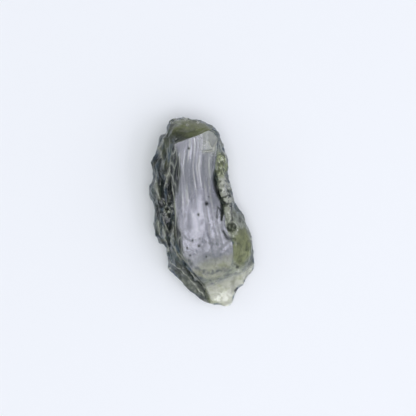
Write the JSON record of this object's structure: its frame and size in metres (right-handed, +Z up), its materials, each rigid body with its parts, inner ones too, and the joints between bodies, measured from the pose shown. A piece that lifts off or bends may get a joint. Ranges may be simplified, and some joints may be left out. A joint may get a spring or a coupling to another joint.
{
  "type": "moldavite",
  "caption": "Raw piece of olive-green natural impact glass with an etched skin and a broad smooth break, lying on a small flat spot.",
  "frame": {"origin": "centre of the stone's box, at the level of the surface it rests on", "axes": "+Y along the stone's length towards its blunt end, +X across towards the low side of the break, +Z up, away from the resting spot"},
  "size_m": [0.012, 0.0218, 0.0073],
  "materials": {
    "natural_glass": "see-through olive-green glass, glossy on the break and finely etched on the old skin"
  },
  "bodies": {
    "root": {"moldavite": "natural_glass"}
  },
  "joints": []
}
